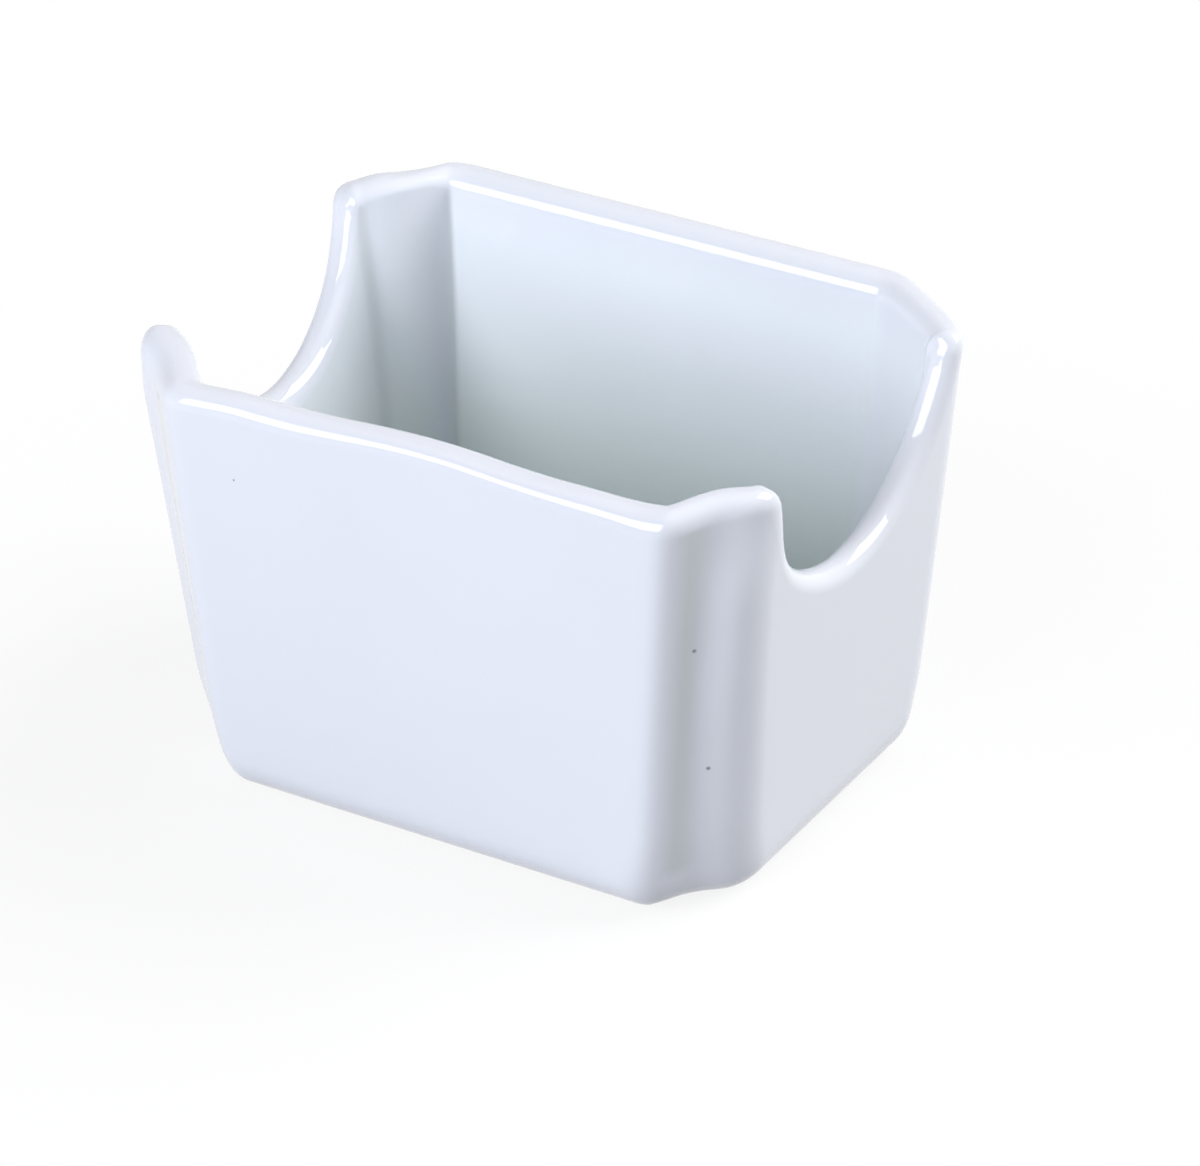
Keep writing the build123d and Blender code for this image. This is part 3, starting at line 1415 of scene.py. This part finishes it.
@dataclass
class UndersideGlaze(FiredPiece):
    """Patch of glaze under the floor, inside the foot ring, with a soft edge."""

    edge: float = 0.00025
    edge_rows: int = 5
    under_shares: tuple[float, ...] = (SMALL_RING, 0.3, 0.55, 0.8)
    upper_shares: tuple[float, ...] = (1.0, 0.5, SMALL_RING)

    def build(self) -> bpy.types.Object:
        """Builds the patch as one closed mesh.

        Returns:
            The piece.
        """
        form = self.form
        edge = []
        for turn in np.linspace(0.0, math.pi / 2, self.edge_rows):
            level = form.foot_height + self.edge * (1 - math.cos(turn))
            edge.append(form.foot_loop(level, form.foot_inner + self.edge * (1 - math.sin(turn))))
        under = [drawn_in(edge[0], share) for share in self.under_shares]
        top = form.foot_loop(form.foot_height + form.glaze, form.foot_inner)
        upper = [drawn_in(top, share) for share in self.upper_shares]
        return self.fire("underside_glaze_patch", [*under, *edge, *upper], Node.UNDERSIDE, Slot.GLAZE)


# Studio


@dataclass(frozen=True)
class Softbox:
    """One rectangular lamp that faces the holder."""

    name: str
    towards: tuple[float, float, float]
    distance: float
    width: float
    height: float
    radiance: float
    colour: Colour


@dataclass
class Studio:
    """Pale floor, soft lamps and the camera of the photograph."""

    # Camera: angles in degrees, lengths in metres, the sensor in millimetres
    azimuth: float = 31.70
    elevation: float = 30.77
    roll: float = -1.255
    right_shift: float = -0.005133
    up_shift: float = -0.020575
    distance: float = 0.91668
    base_level: float = 0.0006
    focal_pixels: float = 6889.0
    image_width: float = 1200.0
    sensor: float = 36.0
    nearest: float = 0.05
    farthest: float = 20.0

    # Floor and light
    aim: tuple[float, float, float] = (0.0, 0.0, 0.032)
    floor_reach: float = 1.5
    floor_seen: Colour = (0.92, 0.92, 0.92)
    floor_bounce: Colour = (0.35, 0.35, 0.36)
    floor_roughness: float = 0.9
    white_from: float = 0.055
    white_by: float = 0.150
    near_white: float = 0.86
    ambient: Colour = (0.010, 0.010, 0.011)
    boxes: tuple[Softbox, ...] = (
        Softbox("key_front_left", (-0.262, -0.874, 0.408), 1.1, 1.00, 0.62, 6.47, (0.985, 1.000, 1.075)),
        Softbox("fill_back_right", (0.604, 0.507, 0.616), 1.1, 0.80, 0.80, 7.6, (1.000, 1.000, 1.015)),
    )

    def add_camera(self) -> None:
        """Adds the camera where the photograph was taken from."""
        azimuth, elevation, roll = (math.radians(v) for v in (self.azimuth, self.elevation, self.roll))
        back = Vector((math.sin(azimuth) * math.cos(elevation), -math.cos(azimuth) * math.cos(elevation),
                       math.sin(elevation)))
        level = Vector((math.cos(azimuth), math.sin(azimuth), 0.0))
        upright = back.cross(level)
        right = level * math.cos(roll) + upright * math.sin(roll)
        up = upright * math.cos(roll) - level * math.sin(roll)
        place = back * self.distance - right * self.right_shift - up * self.up_shift
        place.z += self.base_level
        data = bpy.data.cameras.new("photo_camera")
        data.sensor_fit = "HORIZONTAL"
        data.sensor_width = self.sensor
        data.lens = self.focal_pixels / self.image_width * self.sensor
        data.clip_start, data.clip_end = self.nearest, self.farthest
        camera = bpy.data.objects.new("photo_camera", data)
        camera.matrix_world = Matrix((
            (right.x, up.x, back.x, place.x),
            (right.y, up.y, back.y, place.y),
            (right.z, up.z, back.z, place.z),
            (0.0, 0.0, 0.0, 1.0),
        ))
        bpy.context.scene.collection.objects.link(camera)
        bpy.context.scene.camera = camera

    def add_lamps(self) -> None:
        """Adds the softboxes."""
        for box in self.boxes:
            data = bpy.data.lights.new(box.name, "AREA")
            data.shape = "RECTANGLE"
            data.size, data.size_y = box.width, box.height
            data.energy = box.radiance * math.pi * box.width * box.height
            data.color = box.colour
            lamp = bpy.data.objects.new(box.name, data)
            towards = Vector(box.towards).normalized()
            lamp.location = Vector(self.aim) + towards * box.distance
            lamp.rotation_euler = towards.to_track_quat("Z", "Y").to_euler()
            bpy.context.scene.collection.objects.link(lamp)

    def add_world(self) -> None:
        """Adds even light from all round, which the camera and the gloss see as white."""
        world = bpy.data.worlds.new("studio")
        bpy.context.scene.world = world
        world.use_nodes = True
        tree = world.node_tree
        background = tree.nodes["Background"]
        feed(tree, background.inputs["Color"], self.ambient)
        white = tree.nodes.new("ShaderNodeBackground")
        feed(tree, white.inputs["Color"], (1.0, 1.0, 1.0))
        look = mix_shaders(tree, seen_directly(tree), background.outputs[0], white.outputs[0])
        feed(tree, tree.nodes["World Output"].inputs["Surface"], look)

    def add_floor(self) -> None:
        """Adds the pale floor, which fades to white away from the holder."""
        reach = self.floor_reach
        mesh = bpy.data.meshes.new("floor")
        corners = [(-reach, -reach, 0.0), (reach, -reach, 0.0), (reach, reach, 0.0), (-reach, reach, 0.0)]
        mesh.from_pydata(corners, [], [(0, 1, 2, 3)])
        floor = bpy.data.objects.new("floor", mesh)
        bpy.context.scene.collection.objects.link(floor)
        tree, bounce, material = new_material("pale_floor")
        feed(tree, bounce.inputs["Base Color"], self.floor_bounce)
        feed(tree, bounce.inputs["Roughness"], self.floor_roughness)
        shown = tree.nodes.new("ShaderNodeBsdfDiffuse")
        feed(tree, shown.inputs["Color"], self.floor_seen)
        white = tree.nodes.new("ShaderNodeEmission")
        apart = tree.nodes.new("ShaderNodeVectorMath")
        apart.operation = "LENGTH"
        feed(tree, apart.inputs[0], surface_place(tree))
        fade = tree.nodes.new("ShaderNodeMapRange")
        fade.interpolation_type = "SMOOTHSTEP"
        for label, value in (("From Min", self.white_from), ("From Max", self.white_by),
                             ("To Min", self.near_white), ("To Max", 1.0),
                             ("Value", apart.outputs["Value"])):
            feed(tree, fade.inputs[label], value)
        backdrop = mix_shaders(tree, fade.outputs["Result"], shown.outputs[0], white.outputs[0])
        floor_look = mix_shaders(tree, seen_directly(tree), bounce.outputs[0], backdrop)
        feed(tree, tree.nodes["Material Output"].inputs["Surface"], floor_look)
        mesh.materials.append(material)

    def build(self) -> None:
        """Adds the camera, the lamps, the world and the floor."""
        self.add_camera()
        self.add_lamps()
        self.add_world()
        self.add_floor()
        bpy.context.scene.view_settings.view_transform = "Standard"


def main() -> None:
    """Builds the studio and the pieces in order."""
    logging.basicConfig(level=logging.INFO, format="%(message)s")
    form, firing = HolderForm(), Firing()
    Studio().build()
    skin, specks = fired_skin(), kiln_specks()
    glaze = GlazeFinish().material(skin, specks)
    clay = BareClayFinish().material(skin, specks)
    for part, finish in ((PorcelainBody(form, firing), clay), (GlazeCoat(form, firing), glaze),
                         (UndersideGlaze(form, firing), glaze)):
        piece = part.build()
        part.dress(finish)
        log.info("%s: %d faces", piece.name, len(piece.data.polygons))


if __name__ == "__main__":
    main()
